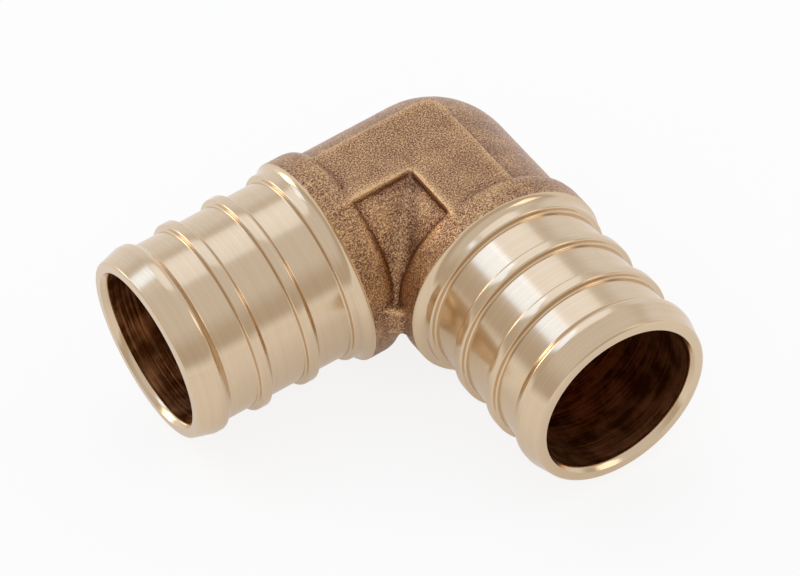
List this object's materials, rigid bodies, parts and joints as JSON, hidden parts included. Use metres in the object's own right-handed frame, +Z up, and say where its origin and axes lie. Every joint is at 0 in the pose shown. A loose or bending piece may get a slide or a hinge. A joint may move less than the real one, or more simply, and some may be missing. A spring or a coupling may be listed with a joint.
{
  "type": "pex crimp elbow fitting",
  "caption": "Ninety degree brass elbow with a ribbed barb at each end, pushed into plastic water tube and held by crimp rings.",
  "frame": {"origin": "the fitting's centre, where the two bore axes cross", "axes": "+X and +Y along the two bores, out of their mouths; +Z up, out of the flat cast pad"},
  "size_m": [0.0364, 0.0364, 0.018],
  "materials": {
    "cast_brass": "sand-cast skin, grainy, brown-gold",
    "turned_brass": "lathe-turned, satin with fine circumferential lines"
  },
  "bodies": {
    "root": {"crimp_elbow": "cast_brass"}
  },
  "joints": []
}
